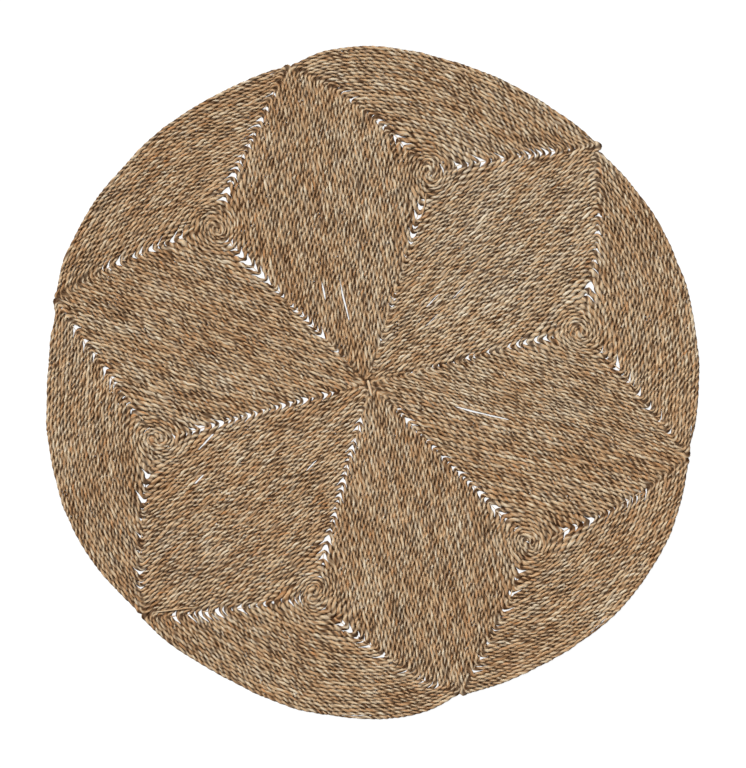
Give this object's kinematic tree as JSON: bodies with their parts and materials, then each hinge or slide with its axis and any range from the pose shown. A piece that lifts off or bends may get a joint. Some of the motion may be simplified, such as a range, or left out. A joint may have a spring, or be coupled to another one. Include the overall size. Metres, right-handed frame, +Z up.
{
  "type": "round rug",
  "caption": "Round flat rug of coiled, twisted seagrass cord, sewn in wedge-shaped panels that meet in the middle and form a star of mitred rounds, with small openings along the mitres.",
  "frame": {"origin": "middle of the rug's outline on the underside, which lies on the floor", "axes": "+Z up out of the floor, through the rug's thickness; +X and +Y in the floor, right and up in the picture"},
  "size_m": [1.4772, 1.5266, 0.008],
  "materials": {
    "seagrass_east": "matte",
    "seagrass_north_east": "matte",
    "seagrass_north_west": "matte",
    "seagrass_west": "matte",
    "seagrass_south_west": "matte",
    "seagrass_south_east": "matte"
  },
  "bodies": {
    "root": {"panel_east": "seagrass_east", "panel_north_east": "seagrass_north_east", "panel_north_west": "seagrass_north_west", "panel_west": "seagrass_west", "panel_south_west": "seagrass_south_west", "panel_south_east": "seagrass_south_east"}
  },
  "joints": []
}
